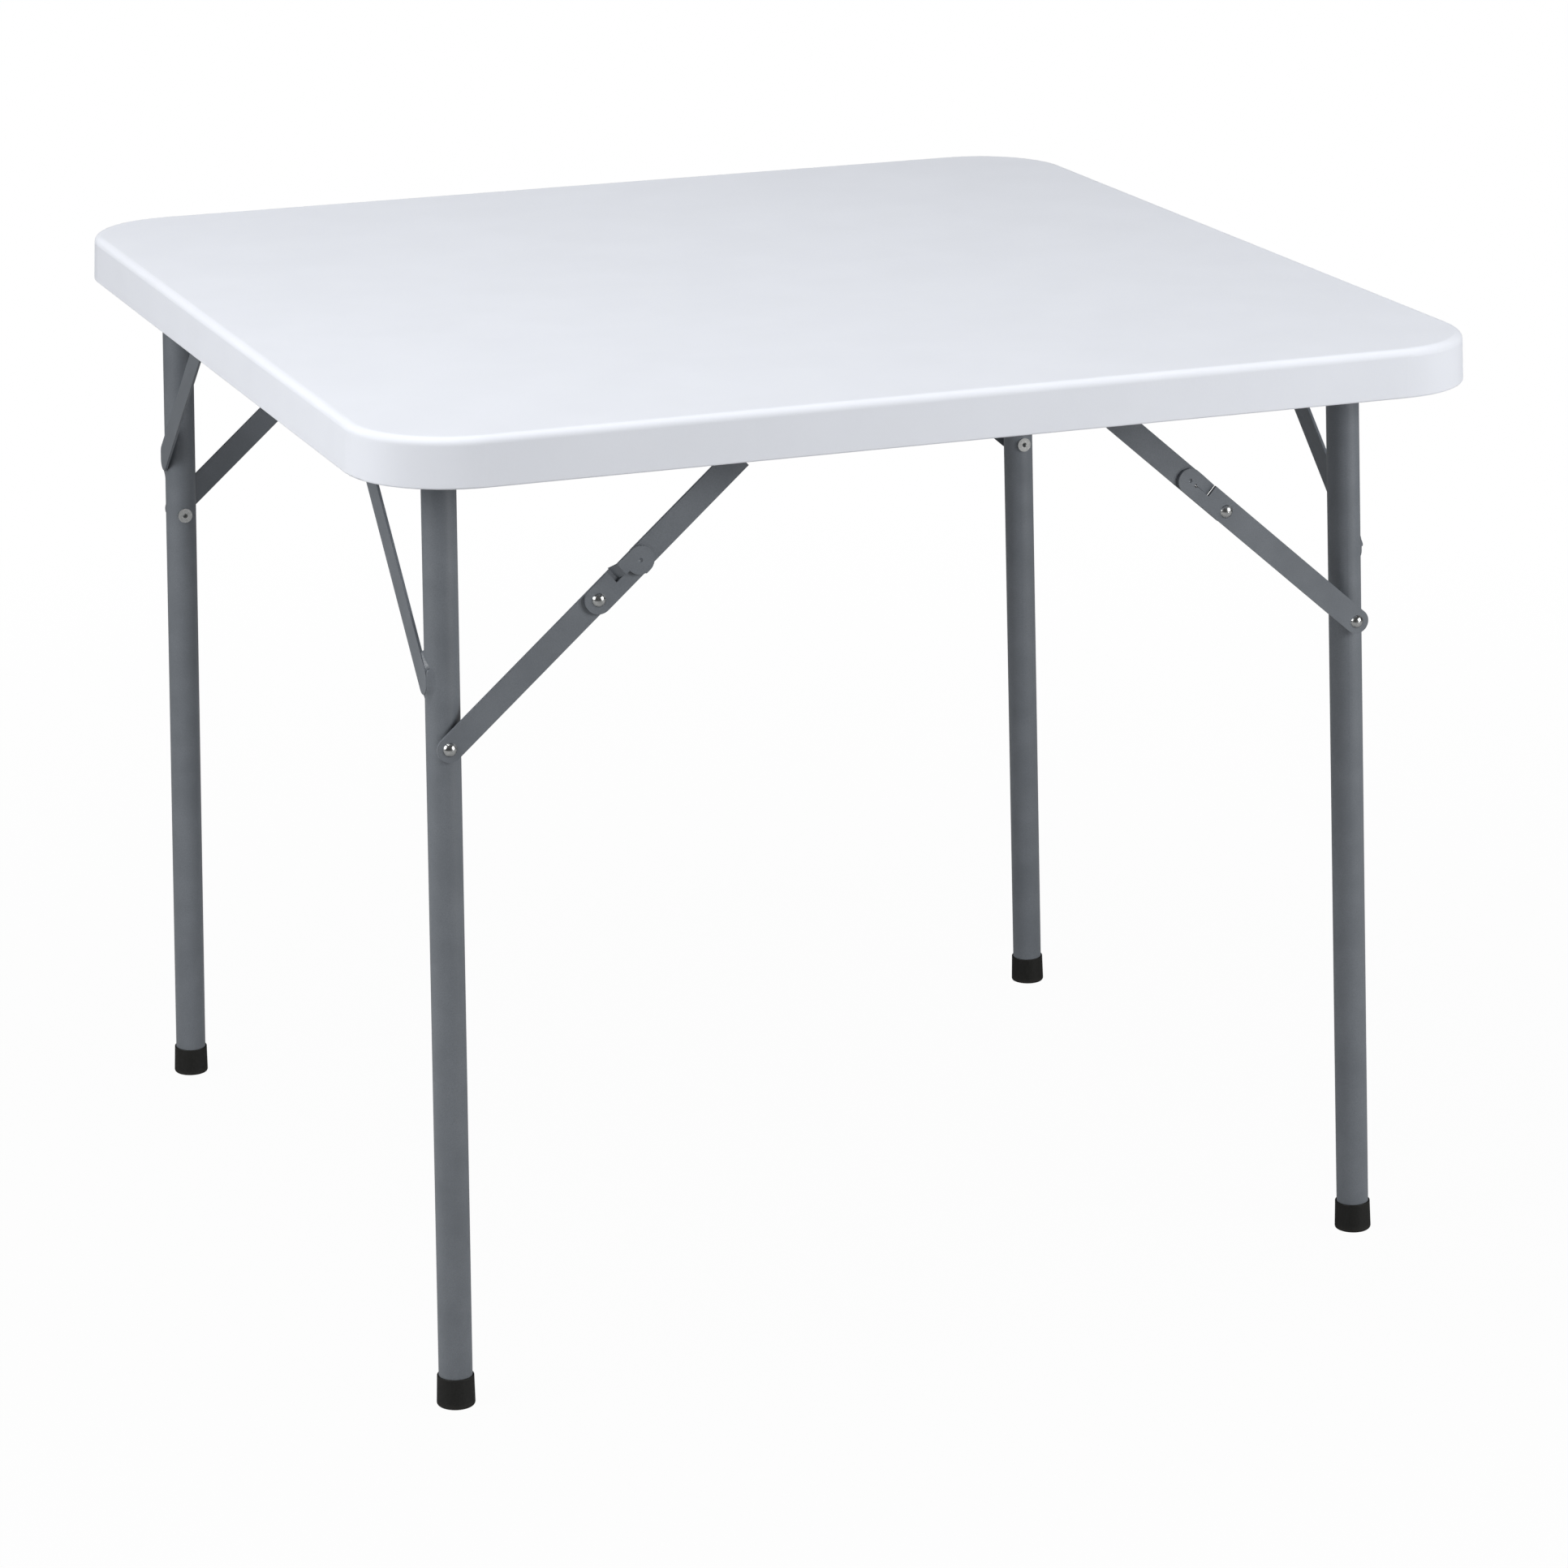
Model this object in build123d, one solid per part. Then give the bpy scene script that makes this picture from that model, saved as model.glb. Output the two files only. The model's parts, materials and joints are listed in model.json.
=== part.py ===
from build123d import *
import math
import os

# A square folding card table. A moulded plastic top carries two steel leg frames, each hinged on its own
# cross tube, and every leg is held open by a two-link brace that locks when it is straight.
#
# Axes: X runs from the left frame to the right frame, Y from the front to the rear, Z up. The origin is on
# the floor under the middle of the top. All lengths are millimetres and all angles degrees.
#
# Every frame piece is drawn at the left front corner. The other corners are mirror images of it, with the
# right frame's own sizes.

os.makedirs("parts", exist_ok=True)

# Table top
top_width = 864.0
top_depth = 864.0
table_height = 737.0
skirt_height = 36.0
skirt_flare = 1.8
corner_radius = 78.0
top_edge_radius = 6.0
skirt_lip_radius = 1.2
plate_thickness = 6.0
skirt_thickness = 5.0
inner_corner_fillet = 3.0

# Moulded stiffening field under the top, with sunk pockets where the two skins meet
field_depth = 9.0
field_gap = 16.0
field_corner = 24.0
field_draft = 4.0
field_edge_radius = 2.0
pocket_length = 56.0
pocket_width = 20.0
pocket_depth = 6.5
pocket_columns = 5
pocket_rows = 6
pocket_pitch_share = 0.96

# Leg frames
pivot_inset = 67.4
left_pivot_drop = 24.3
nest_clearance = 1.5
nest_step = 50.2
left_tilt = 0.95
right_tilt = 2.0
left_splay = 1.65
right_splay = 1.0
tube_diameter = 25.0
tube_wall = 1.2
tube_end_margin = 0.5
weld_gap = 0.1

# Diagonal straps
diagonal_width = 20.0
diagonal_thickness = 2.0
diagonal_run = 165.0
diagonal_end_radius = 8.0
left_diagonal_lap = 7.5
right_diagonal_lap = 1.0

# Foot caps
foot_height = 23.0
foot_top_radius = 13.7
foot_bottom_radius = 14.3
foot_floor = 3.5
foot_edge_radius = 2.4
foot_lip_radius = 0.5
fit_clearance = 0.05

# Brace links
lower_link_length = 149.0
upper_link_length = 179.0
link_width = 19.0
link_thickness = 2.5
link_slip = 0.3
top_pivot_rise = 4.0
left_brace_gap = 1.2
right_brace_gap = 2.4
running_clearance = 0.05

# Interlock of each brace: the tongue, its jog, and the notch that it passes through
notch_start = 17.6
notch_end = 38.0
notch_corner_radius = 3.0
boss_radius = 10.5
lap_gap = 0.3
jog_start = 20.4
jog_length = 6.0
stop_end = 34.0
tongue_shoulder = 37.0
tongue_centre = 40.5
dimple_radius = 1.7
dimple_depth = 1.0
flap_hole_radius = 1.3
flap_root = 34.0
flap_bend_length = 12.0

# Brace rivets
rivet_radius = 3.0
rivet_head_radius = 5.2
rivet_head_height = 3.0
rivet_tail_radius = 4.6
rivet_tail_height = 1.2
rivet_bore_radius = 1.8
washer_radius = 6.0
spacer_radius = 4.6
split_gap = 0.5
nest_radius = 5.9
tail_ring_radius = 6.0
tail_bore_radius = 2.0
tail_ring_height = 1.4
tail_bore_depth = 3.0

# Top pivot rivets
top_rivet_radius = 3.5
top_head_radius = 6.0
top_head_height = 1.0
top_shoulder_radius = 5.5
top_dome_height = 2.4

# Brackets under the top
bracket_thickness = 2.5
bracket_end = 20.0
bracket_flange = 24.0
bracket_bend_radius = 2.0
bracket_corner_radius = 6.0
bracket_lip = 1.6
bracket_skirt_gap = 16.2
web_clearance = 1.5

# Pivot studs and bushes
stud_radius = 6.0
stud_shoulder_radius = 8.0
stud_plug_length = 22.0
stud_collar = 1.5
bush_radius = 8.0
bush_flange_radius = 9.2
bush_flange = 1.5
cap_radius = 9.0
cap_height = 3.2
cap_gap = 0.3
stud_tip = 2.4
stud_tip_chamfer = 0.8

# Bracket screws
screw_radius = 2.0
screw_depth = 4.6
screw_head_radius = 4.2
screw_head_height = 2.2
screw_head_chamfer = 0.8
screw_place_shares = (0.08, 0.36, 0.64, 0.92)

# One overrun serves every cut that runs past a face.
overrun = 5.0

# Sizes that follow from the ones above
tube_radius = tube_diameter / 2
tube_bore_radius = tube_radius - tube_wall
link_radius = link_width / 2
link_step = link_thickness + link_slip
plate_bottom = table_height - plate_thickness
skirt_bottom = table_height - skirt_height
skirt_room = top_depth / 2 - skirt_flare - skirt_thickness
pivot_x = top_width / 2 - pivot_inset
nest_distance = math.sqrt(lower_link_length**2 - top_pivot_rise**2)


class Side:
    """The sizes and brace levels of one leg frame, worked out as if it stood at the left.

    The brace is a four-bar linkage that is straight when the frame stands and lies flat along the leg when it
    is folded. Both conditions together fix how far from the fold axis its two ends are riveted.

    The frame is as wide as the room inside the skirt leaves, less an inset. Depths are counted outwards from
    the crest of the leg tube at its brace rivet.
    """

    def __init__(self, name, inset, pivot_drop, tilt, splay, brace_gap, diagonal_lap, tongue_crosses):
        self.name = name
        self.tilt = tilt
        self.splay = splay
        self.diagonal_lap = diagonal_lap
        self.pivot_z = table_height - pivot_drop
        self.tongue_crosses = tongue_crosses
        self.boss_radius = boss_radius if tongue_crosses else link_radius
        lean = math.radians(tilt)
        spread = math.radians(splay)
        straight = lower_link_length + upper_link_length
        lag = upper_link_length - nest_distance
        offset = top_pivot_rise - lag * math.cos(lean)
        a = 2 + 2 * math.sin(lean)
        b = 2 * math.cos(lean) * offset - 2 * lag * math.sin(lean) * (1 + math.sin(lean))
        c = (lag * math.sin(lean)) ** 2 + offset**2 - straight**2
        self.bracket_reach = (math.sqrt(b**2 - 4 * a * c) - b) / (2 * a)
        self.rivet_drop = self.bracket_reach - lag
        self.leg_rivet_x = -pivot_x - self.rivet_drop * math.sin(lean)
        self.leg_rivet_z = self.pivot_z - self.rivet_drop * math.cos(lean)
        self.top_rivet_x = self.bracket_reach - pivot_x
        self.top_rivet_z = self.pivot_z + top_pivot_rise
        run = self.top_rivet_x - self.leg_rivet_x
        rise = self.top_rivet_z - self.leg_rivet_z
        self.brace_angle = math.degrees(math.atan2(rise, run))
        turn = math.radians(self.brace_angle)
        self.middle_x = self.leg_rivet_x + lower_link_length * math.cos(turn)
        self.middle_z = self.leg_rivet_z + lower_link_length * math.sin(turn)
        first = brace_gap
        second = first + link_step
        self.lower_level = first if tongue_crosses else second
        self.upper_level = second if tongue_crosses else first
        self.tongue_level = second + link_step if tongue_crosses else second
        proud = max(self.tongue_level, second + rivet_head_height) + link_thickness
        self.tube_half_chord = tube_radius / math.cos(spread)
        self.web_y = skirt_room - bracket_skirt_gap - bracket_flange - inset
        self.crest_y = self.web_y - web_clearance - proud
        self.rivet_axis_y = self.crest_y - self.tube_half_chord
        self.half_width = self.rivet_axis_y - self.rivet_drop * math.tan(spread)
        self.leg_reach = self.pivot_z / (math.cos(lean) * math.cos(spread))
        self.cross_end = self.half_width + tube_radius + tube_end_margin

    def in_frame(self, shape):
        """Move a shape drawn round the fold axis, with its frame plumb, to where the open frame stands."""
        return Location((-pivot_x, 0, self.pivot_z)) * Rotation(0, self.tilt, 0) * shape

    def in_brace(self, shape, x, z):
        """Move a shape drawn with X along the brace, Y across it and Z outwards from the leg's crest."""
        turn = math.radians(self.brace_angle)
        along = (math.cos(turn), 0, math.sin(turn))
        return Plane(origin=(x, -self.crest_y, z), x_dir=along, z_dir=(0, -1, 0)).location * shape

    def at_corner(self, shape, row):
        """Mirror a shape from the left front corner to this side and the named row."""
        if self.name == "right":
            shape = mirror(shape, about=Plane.YZ)
        if row == "rear":
            shape = mirror(shape, about=Plane.XZ)
        return shape


right_pivot_drop = left_pivot_drop - nest_clearance
left = Side(
    "left", 0, left_pivot_drop, left_tilt, left_splay, left_brace_gap, left_diagonal_lap, True
)
right = Side(
    "right", nest_step, right_pivot_drop, right_tilt, right_splay, right_brace_gap, right_diagonal_lap, False
)
sides = (left, right)
rows = ("front", "rear")


def save(node, solids):
    """Write one node. A list of solids becomes a group."""
    shape = solids if isinstance(solids, (Part, Solid)) else Compound(children=list(solids))
    export_step(shape, f"parts/{node}.step")


def disc(radius, low, high):
    """A round plug along Z between two heights."""
    return Pos(0, 0, low) * extrude(Circle(radius), amount=high - low)


def slab(sketch, low, high):
    """A flat piece of the sketch between two heights."""
    return Pos(0, 0, low) * extrude(sketch, amount=high - low)


def block(x_low, x_high, y_low, y_high):
    """A rectangle given by its sides."""
    return Pos((x_low + x_high) / 2, (y_low + y_high) / 2) * Rectangle(x_high - x_low, y_high - y_low)


def dome(radius, height, base):
    """A rounded rivet head whose flat side lies at the base height."""
    cap = Polyline((radius, 0), (0, 0), (0, height)) + RadiusArc(
        (0, height), (radius, 0), (radius**2 + height**2) / (2 * height)
    )
    return Pos(0, 0, base) * revolve(Plane.XZ * make_face(cap), axis=Axis.Z)


def along_y(shape, x, y, z):
    """Turn a shape drawn on Z so that it points to the front, and set it down."""
    return Plane(origin=(x, y, z), x_dir=(1, 0, 0), z_dir=(0, -1, 0)).location * shape


def drafted(low_plan, low, high_plan, high):
    """A solid with drafted sides between two level outlines."""
    return loft([Pos(0, 0, low) * low_plan, Pos(0, 0, high) * high_plan])


def top_outline(margin):
    """The plan of the top, taken in by a margin all round."""
    return RectangleRounded(top_width - 2 * margin, top_depth - 2 * margin, corner_radius - margin)


def field_half_sizes(margin):
    """Half the length and width of the stiffening field, between the cross tubes and the folded legs."""
    clear = tube_radius + field_gap + margin
    return pivot_x - clear, right.half_width - clear


def field_outline(margin):
    """The plan of the stiffening field, taken in by a margin."""
    half_x, half_y = field_half_sizes(margin)
    return RectangleRounded(2 * half_x, 2 * half_y, field_corner - margin / 2)


def make_table_top():
    """The moulded top: a plate, a flared skirt with a rolled lip, and a pocketed field underneath."""
    shell = drafted(top_outline(0), skirt_bottom, top_outline(skirt_flare), table_height)
    inner_lip = top_outline(skirt_thickness)
    hollow = drafted(inner_lip, skirt_bottom, top_outline(skirt_thickness + skirt_flare), plate_bottom)
    hollow = fillet(hollow.edges().group_by(Axis.Z)[-1], inner_corner_fillet)
    shell = fillet(shell.edges().group_by(Axis.Z)[-1], top_edge_radius) - hollow
    shell = fillet(shell.edges().group_by(Axis.Z)[0], skirt_lip_radius)
    floor = plate_bottom - field_depth
    field = drafted(field_outline(field_draft), floor, field_outline(0), plate_bottom)
    field = fillet(field.edges().group_by(Axis.Z)[0], field_edge_radius)
    half_x, half_y = field_half_sizes(field_draft)
    pitch_x = 2 * half_x / pocket_columns * pocket_pitch_share
    pitch_y = 2 * half_y / pocket_rows * pocket_pitch_share
    grid = GridLocations(pitch_x, pitch_y, pocket_columns, pocket_rows)
    pockets = Sketch() + grid * SlotOverall(pocket_length, pocket_width)
    top = shell + field - slab(pockets, floor - overrun, floor + pocket_depth)
    pilots = [Pos(x, y) * Circle(screw_radius + fit_clearance) for x, y in screw_places()]
    return top - slab(Sketch() + pilots, plate_bottom - overrun, plate_bottom + screw_depth + fit_clearance)


def bracket_span(side):
    """The two ends of a bracket along X, at the left."""
    return -pivot_x - bracket_end, side.top_rivet_x + bracket_end


def screw_places():
    """Where the screws stand: in a line along every bracket's flange, at all four corners."""
    places = []
    for side in sides:
        low, high = bracket_span(side)
        hand = -1 if side.name == "right" else 1
        y = side.web_y + (bracket_thickness + bracket_flange) / 2
        for share in screw_place_shares:
            x = low + share * (high - low)
            places += [(hand * x, -y), (hand * x, y)]
    return places


def make_bracket(side):
    """A steel angle: its web carries the bush and the top rivet, and its flange is screwed to the top."""
    low, high = bracket_span(side)
    inner = -side.web_y
    outer = inner - bracket_flange
    foot = skirt_bottom + bracket_lip
    under = plate_bottom - bracket_thickness
    profile = Polyline(
        (inner, foot),
        (inner, plate_bottom),
        (outer, plate_bottom),
        (outer, under),
        (inner - bracket_thickness, under),
        (inner - bracket_thickness, foot),
        close=True,
    )
    angle = Pos(low, 0, 0) * extrude(Plane.YZ * make_face(profile), amount=high - low)
    outside = angle.edges().filter_by(Axis.X).sort_by_distance((low, inner, plate_bottom))[0]
    angle = fillet(outside, bracket_bend_radius + bracket_thickness)
    inside = angle.edges().filter_by(Axis.X).sort_by_distance((low, inner - bracket_thickness, under))[0]
    angle = fillet(inside, bracket_bend_radius)
    angle = fillet(angle.edges().filter_by(Axis.Y).group_by(Axis.Z)[0], bracket_corner_radius)
    angle = fillet(angle.edges().filter_by(Axis.Z).group_by(Axis.Y)[0], bracket_corner_radius)
    bush_hole = disc(bush_radius + fit_clearance, -overrun, bracket_thickness + overrun)
    rivet_hole = disc(top_rivet_radius + fit_clearance, -overrun, bracket_thickness + overrun)
    angle -= along_y(bush_hole, -pivot_x, inner, side.pivot_z)
    angle -= along_y(rivet_hole, side.top_rivet_x, inner, side.top_rivet_z)
    y = inner - (bracket_thickness + bracket_flange) / 2
    for share in screw_place_shares:
        hole = disc(screw_radius + fit_clearance, under - overrun, plate_bottom + overrun)
        angle -= Pos(low + share * (high - low), y, 0) * hole
    return angle


def make_screw(x, y):
    """A short pan-head screw, its head under the flange."""
    seat = plate_bottom - bracket_thickness
    tip = plate_bottom + screw_depth
    head = disc(screw_head_radius, -screw_head_height, 0)
    head = chamfer(head.edges().group_by(Axis.Z)[0], screw_head_chamfer)
    return Pos(x, y, seat) * (head + disc(screw_radius, 0, tip - seat))


def make_top_rivet(side):
    """The shouldered rivet that the upper link turns on, headed outside the bracket's web."""
    inner = side.upper_level
    shoulder = inner + link_thickness + link_slip
    web = side.web_y - side.crest_y
    rivet = disc(top_head_radius, inner - link_slip - top_head_height, inner - link_slip)
    rivet += disc(top_rivet_radius, inner - link_slip, web + bracket_thickness)
    rivet += disc(top_shoulder_radius, shoulder, web)
    rivet += dome(top_head_radius, top_dome_height, web + bracket_thickness)
    return along_y(rivet, side.top_rivet_x, -side.crest_y, side.top_rivet_z)


def make_bush(side):
    """The flanged plastic bush in the bracket's web."""
    bush = disc(bush_flange_radius, -bush_flange, 0) + disc(bush_radius, 0, bracket_thickness)
    bush -= disc(stud_radius + running_clearance, -bush_flange - overrun, bracket_thickness + overrun)
    return along_y(bush, -pivot_x, -side.web_y, side.pivot_z)


def make_cross_tube(side):
    """The tube on the fold axis, as long as the frame is wide."""
    ring = Circle(tube_radius) - Circle(tube_bore_radius)
    return Plane.XZ.offset(-side.cross_end).location * extrude(ring, amount=2 * side.cross_end)


def make_stud(side):
    """A pivot stud: a plug pressed into the cross tube, a collar on its end, and the turned journal."""
    web = side.web_y - side.cross_end
    stud = disc(tube_bore_radius - fit_clearance, -stud_plug_length, 0)
    stud += disc(tube_radius, 0, stud_collar)
    stud += disc(stud_shoulder_radius, stud_collar, web - bush_flange - link_slip)
    end = web + bracket_thickness + cap_gap + stud_tip
    stud += disc(stud_radius, 0, end)
    stud = chamfer(stud.edges().group_by(Axis.Z)[-1], stud_tip_chamfer)
    return along_y(stud, 0, -side.cross_end, 0)


def make_push_cap(side):
    """The domed push cap that keeps the stud in its bush."""
    start = side.web_y - side.cross_end + bracket_thickness + cap_gap
    cap = dome(cap_radius, cap_height + stud_tip, start)
    cap -= disc(stud_radius + fit_clearance, start - overrun, start + stud_tip + fit_clearance)
    return along_y(cap, 0, -side.cross_end, 0)


def leg_plane(side, distance):
    """A plane square to the leg at a distance down it from the fold axis, with Z down the leg."""
    spread = math.radians(side.splay)
    across = (0, math.cos(spread), -math.sin(spread))
    down = (0, -math.sin(spread), -math.cos(spread))
    start = Vector(0, -side.half_width, 0) + Vector(*down) * distance
    return Plane(origin=start, x_dir=across, z_dir=down)


def make_leg(side):
    """A leg tube, its top cut to saddle the cross tube, with the hole for its brace rivet."""
    length = side.leg_reach - foot_floor
    ring = Circle(tube_radius) - Circle(tube_bore_radius)
    leg = leg_plane(side, 0).location * extrude(ring, amount=length)
    # The quarter turn keeps the cutter's seam off the tips of the saddle.
    saddle = Rotation(0, 0, 90) * disc(tube_radius + weld_gap, -2 * tube_radius, 2 * tube_radius)
    leg -= along_y(saddle, 0, -side.half_width, 0)
    hole = disc(rivet_radius + fit_clearance, -tube_radius - overrun, tube_radius + overrun)
    return leg - along_y(hole, 0, -side.rivet_axis_y, -side.rivet_drop)


def make_diagonal(side):
    """The flat strap across the corner of the frame, on the tubes' outer side.

    Both its ends are cut parallel to the tube that they lap, a little past the tube's middle, and rounded.
    """
    spread = math.tan(math.radians(side.splay))
    low = Vector(-side.half_width - diagonal_run * spread, -diagonal_run)
    high = Vector(diagonal_run - side.half_width, 0)
    reach = (high - low).length
    turn = math.degrees(math.atan2(high.Y - low.Y, high.X - low.X))
    middle = (low + high) / 2
    strap = Pos(middle.X, middle.Y) * Rotation(0, 0, turn) * Rectangle(2 * reach, diagonal_width)
    inside = block(-side.diagonal_lap, 2 * reach, -2 * reach, reach)
    strap &= Pos(-side.half_width, 0) * Rotation(0, 0, -side.splay) * inside
    strap &= block(-side.half_width - reach, reach, -2 * reach, side.diagonal_lap)
    strap = fillet(strap.vertices(), diagonal_end_radius)
    flat = extrude(Plane.YZ * strap, amount=diagonal_thickness)
    return Pos(-tube_radius - diagonal_thickness, 0, 0) * flat


def make_foot(side):
    """A plastic cap pushed on the end of the leg, long enough to be cut flat where it meets the floor."""
    sole = -foot_bottom_radius * math.tan(math.radians(side.tilt + side.splay))
    profile = Polyline(
        (0, sole), (foot_bottom_radius, sole), (foot_top_radius, foot_height), (0, foot_height), close=True
    )
    cap = revolve(Plane.XZ * make_face(profile), axis=Axis.Z)
    cap = fillet(cap.edges().group_by(Axis.Z)[0], foot_edge_radius)
    cap = fillet(cap.edges().group_by(Axis.Z)[-1], foot_lip_radius)
    cap -= disc(tube_radius + fit_clearance, foot_floor, foot_height + overrun)
    cap = leg_plane(side, side.leg_reach).location * Rotation(180, 0, 0) * cap
    return cap


def make_leg_rivet(side):
    """The half of the leg rivet that stays in the tube: its shank and its rolled, hollow tail."""
    chord = side.tube_half_chord
    shank = disc(rivet_radius, -chord, chord)
    ring = disc(tail_ring_radius, -chord - tail_ring_height, -chord + tail_ring_height)
    tube = Rotation(90 - side.splay, 0, 0) * disc(tube_radius, -2 * tube_radius, 2 * tube_radius)
    rivet = ring - tube + shank
    rivet += disc(rivet_radius, -chord - tail_ring_height, -chord)
    rivet -= disc(tail_bore_radius, -chord - tail_ring_height - overrun, tail_bore_depth - chord)
    return along_y(rivet, 0, -side.rivet_axis_y, -side.rivet_drop)


def make_link_rivet(side):
    """The half of the leg rivet that turns with the lower link: domed head, shank and washer or spacer."""
    level = side.lower_level
    rivet = dome(rivet_head_radius, rivet_head_height, level + link_thickness)
    rivet += disc(rivet_radius, split_gap, level + link_thickness)
    rivet += disc(washer_radius if side.tongue_crosses else spacer_radius, split_gap, level)
    return side.in_brace(rivet, side.leg_rivet_x, side.leg_rivet_z)


def make_middle_rivet(side):
    """The rivet that joins the two links: domed outside, upset inside, fixed in the lower link."""
    inner = min(side.lower_level, side.upper_level)
    outer = inner + link_step + link_thickness
    rivet = dome(rivet_head_radius, rivet_head_height, outer)
    rivet += disc(rivet_radius, inner - rivet_tail_height, outer)
    tail = disc(rivet_tail_radius, inner - rivet_tail_height, inner)
    rivet += chamfer(tail.edges().group_by(Axis.Z)[0], rivet_tail_height / 2)
    rivet -= disc(rivet_bore_radius, inner - rivet_tail_height - overrun, inner)
    return side.in_brace(rivet, side.middle_x, side.middle_z)


def make_upper_link(side):
    """The upper link: round ends, the interlock notch, and the nest that takes the leg rivet when folded."""
    strap = Pos(upper_link_length / 2, 0) * SlotCenterToCenter(upper_link_length, link_width)
    strap += Circle(side.boss_radius)
    strap += block(0, tongue_shoulder, -side.boss_radius, side.boss_radius)
    strap -= block(notch_start, notch_end, 0, link_radius + overrun)
    strap = fillet(strap.vertices().sort_by_distance((notch_end, link_radius))[0], notch_corner_radius)
    nest_low, nest_high = nest_distance - nest_radius, nest_distance + nest_radius
    strap -= Pos(nest_distance, -top_pivot_rise) * Circle(nest_radius)
    strap -= block(nest_low, nest_high, -link_radius - overrun, -top_pivot_rise)
    strap -= Circle(rivet_radius + running_clearance)
    strap -= Pos(upper_link_length, 0) * Circle(top_rivet_radius + running_clearance)
    link = slab(strap, side.upper_level, side.upper_level + link_thickness)
    return side.in_brace(link, side.middle_x, side.middle_z)


def ramp(side, start, end, low, high):
    """The jogged upper half of a link between two levels, as wide as the notch allows."""
    side_view = Polyline(
        (start, low), (start, low + link_thickness), (end, high + link_thickness), (end, high), close=True
    )
    bent = extrude(Plane.XZ * make_face(side_view), amount=-(side.boss_radius - lap_gap))
    return Pos(0, lap_gap, 0) * bent


def dimple(level):
    """The round dent pressed into the tongue's outer face."""
    ball = (dimple_radius**2 + dimple_depth**2) / (2 * dimple_depth)
    return Pos(tongue_centre, 0, level + link_thickness - dimple_depth + ball) * Sphere(ball)


def make_lower_link(side):
    """The lower link, with the tongue that laps the upper link and stops the brace when it is straight."""
    base = side.lower_level
    strap = Pos(-lower_link_length / 2, 0) * SlotCenterToCenter(lower_link_length, link_width)
    if side.tongue_crosses:
        # One half stays behind the upper link. The other jogs out through the notch and ends in front of it.
        near = strap + block(0, jog_start, -link_radius, link_radius)
        near += block(jog_start, stop_end, -link_radius, 0)
        far = block(jog_start + jog_length, tongue_centre, lap_gap, side.boss_radius)
        far += block(tongue_shoulder, tongue_centre, -side.boss_radius, side.boss_radius)
        far += Pos(tongue_centre, 0) * Circle(side.boss_radius)
        link = slab(near - rivet_holes(), base, base + link_thickness)
        link += ramp(side, jog_start, jog_start + jog_length, base, side.tongue_level)
        link += slab(far, side.tongue_level, side.tongue_level + link_thickness)
    else:
        # The link runs on in front of the upper one, and a flap of it is pressed back into the notch.
        near = strap + block(0, tongue_centre, -link_radius, link_radius)
        near += Pos(tongue_centre, 0) * Circle(link_radius)
        near -= block(jog_start - lap_gap, flap_root, 0, link_radius + overrun)
        near -= Pos(flap_root, 0) * Circle(flap_hole_radius)
        behind = base - link_step
        bend = flap_root - flap_bend_length
        link = slab(near - rivet_holes(), base, base + link_thickness)
        link += ramp(side, bend, flap_root, behind, base)
        link += slab(block(jog_start, bend, lap_gap, link_radius), behind, behind + link_thickness)
    link -= dimple(side.tongue_level)
    return side.in_brace(link, side.middle_x, side.middle_z)


def rivet_holes():
    """The two rivet holes of a lower link."""
    hole = Circle(rivet_radius + fit_clearance)
    return hole + Pos(-lower_link_length, 0) * hole


def cut_at_floor(shape):
    """Trim a foot to the floor."""
    reach = top_width + top_depth
    return shape - Pos(0, 0, -reach / 2) * Box(reach, reach, reach)


save("table_top", make_table_top())
save("bracket_screws", [make_screw(x, y) for x, y in screw_places()])

top_rivets = []
bushes = []
for side in sides:
    bracket = make_bracket(side)
    lower_link = make_lower_link(side)
    upper_link = make_upper_link(side)
    middle_rivet = make_middle_rivet(side)
    link_rivet = make_link_rivet(side)
    leg = side.in_frame(make_leg(side))
    diagonal = side.in_frame(make_diagonal(side))
    foot = cut_at_floor(side.in_frame(make_foot(side)))
    stud = side.in_frame(make_stud(side))
    push_cap = side.in_frame(make_push_cap(side))
    leg_rivet = side.in_frame(make_leg_rivet(side))
    for row in rows:
        place = f"{side.name}_{row}"
        save(f"{place}_bracket", side.at_corner(bracket, row))
        save(f"{place}_leg", side.at_corner(leg, row))
        save(f"{place}_diagonal_strap", side.at_corner(diagonal, row))
        save(f"{place}_foot_cap", side.at_corner(foot, row))
        save(f"{place}_lower_link", side.at_corner(lower_link, row))
        save(f"{place}_upper_link", side.at_corner(upper_link, row))
        save(f"{place}_middle_rivet", side.at_corner(middle_rivet, row))
        save(f"{place}_link_rivet", side.at_corner(link_rivet, row))
    save(f"{side.name}_cross_tube", side.at_corner(side.in_frame(make_cross_tube(side)), "front"))
    save(f"{side.name}_pivot_studs", [side.at_corner(stud, row) for row in rows])
    save(f"{side.name}_push_caps", [side.at_corner(push_cap, row) for row in rows])
    save(f"{side.name}_leg_rivets", [side.at_corner(leg_rivet, row) for row in rows])
    top_rivets += [side.at_corner(make_top_rivet(side), row) for row in rows]
    bushes += [side.at_corner(make_bush(side), row) for row in rows]
save("top_rivets", top_rivets)
save("pivot_bushes", bushes)

for side in sides:
    print(side.name, "fold axis", round(pivot_x, 3), round(side.pivot_z, 3))
    print("  middle pivot", round(side.middle_x, 3), round(side.middle_z, 3))
    print("  top pivot", round(side.top_rivet_x, 3), round(side.top_rivet_z, 3))
    print("  brace angle", round(side.brace_angle, 4))
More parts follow.
